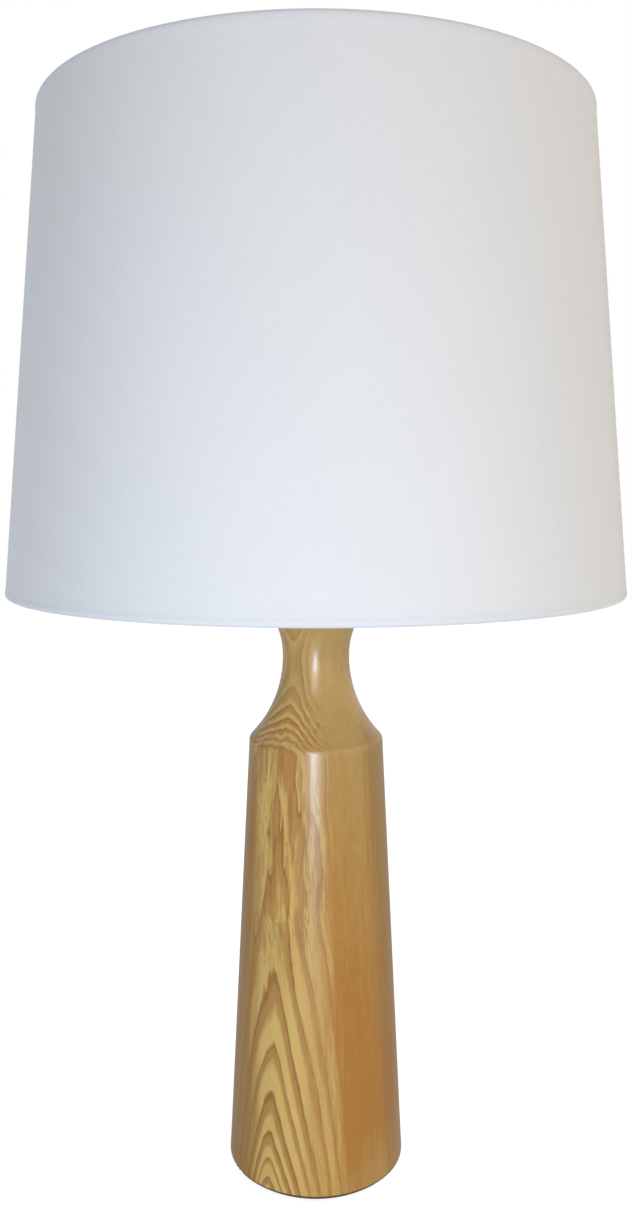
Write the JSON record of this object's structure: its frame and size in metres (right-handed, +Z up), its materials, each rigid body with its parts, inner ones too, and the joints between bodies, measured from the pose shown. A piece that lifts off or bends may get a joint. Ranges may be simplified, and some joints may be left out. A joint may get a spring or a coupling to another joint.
{
  "type": "column table lamp",
  "caption": "Table lamp with a turned ash column that tapers to a waisted neck, a turn-knob lampholder inside a wire harp, and a tapered drum shade of white cloth.",
  "frame": {"origin": "on the table, under the middle of the lamp's foot", "axes": "+Z up along the column; -Y to the front, where the switch knob points; the harp lies in the XZ plane"},
  "size_m": [0.406, 0.4063, 0.7136],
  "materials": {
    "ash": "satin lacquer over open ash grain",
    "felt": "pressed wool felt",
    "bush_plastic": "moulded, fine texture",
    "zinc_steel": "zinc plated",
    "antique_brass": "satin, lacquered",
    "lampholder_brass": "bright rolled sheet",
    "fibre": "vulcanised fibre",
    "phenolic": "moulded phenolic",
    "knob_plastic": "moulded, satin",
    "cap_metal": "bright drawn",
    "cap_glass": "black glass",
    "frosted_glass": "inside frosted",
    "shade_cloth": "fine plain woven cotton",
    "shade_lining": "white styrene, satin",
    "frame_wire": "white powder coat"
  },
  "bodies": {
    "base": {"column": "ash", "foot_felt": "felt", "cord_bush": "bush_plastic", "base_washer": "zinc_steel", "base_lock_washer": "zinc_steel", "base_nut": "zinc_steel", "lamp_pipe": "zinc_steel", "seat_cap": "antique_brass", "neck_spacer": "antique_brass", "harp_saddle": "antique_brass", "saddle_nut": "antique_brass", "socket_cap": "lampholder_brass", "socket_set_screw": "lampholder_brass", "socket_shell": "lampholder_brass", "socket_liner": "fibre", "socket_body": "phenolic", "terminal_screws": "lampholder_brass", "screw_shell": "cap_metal", "centre_contact": "lampholder_brass"},
    "switch": {"switch_shaft": "lampholder_brass", "switch_rotor": "phenolic", "switch_knob": "knob_plastic"},
    "bulb": {"bulb_glass": "frosted_glass", "bulb_screw_cap": "cap_metal", "bulb_insulator": "cap_glass", "bulb_contact": "cap_metal"},
    "harp": {"harp_loop": "antique_brass", "harp_stud": "antique_brass"},
    "ferrule_left": {"harp_ferrule_left": "antique_brass"},
    "ferrule_right": {"harp_ferrule_right": "antique_brass"},
    "shade": {"shade_fabric": "shade_cloth", "shade_liner": "shade_lining", "shade_top_ring": "frame_wire", "shade_bottom_ring": "frame_wire", "spider_arms": "antique_brass", "spider_hub": "antique_brass"},
    "finial": {"finial_insert": "antique_brass", "finial_knob": "ash"}
  },
  "joints": [
    {"name": "switch_turn", "type": "hinge", "parent": "base", "child": "switch", "pos_m": [0, 0, 0.4371], "axis": [0, -1, 0], "continuous": true},
    {"name": "bulb_turn", "type": "hinge", "parent": "base", "child": "bulb", "pos_m": [0, 0, 0.46], "axis": [0, 0, 1], "continuous": true},
    {"name": "harp_lift", "type": "slide", "parent": "base", "child": "harp", "axis": [0, 0, 1], "range_m": [0, 0.04]},
    {"name": "ferrule_left_slide", "type": "slide", "parent": "harp", "child": "ferrule_left", "axis": [0, 0, 1], "range_m": [0, 0.014]},
    {"name": "ferrule_right_slide", "type": "slide", "parent": "harp", "child": "ferrule_right", "axis": [0, 0, 1], "range_m": [0, 0.014]},
    {"name": "shade_turn", "type": "hinge", "parent": "harp", "child": "shade", "pos_m": [0, 0, 0.6819], "axis": [0, 0, 1], "continuous": true},
    {"name": "finial_turn", "type": "hinge", "parent": "harp", "child": "finial", "pos_m": [0, 0, 0.69], "axis": [0, 0, 1], "continuous": true}
  ]
}
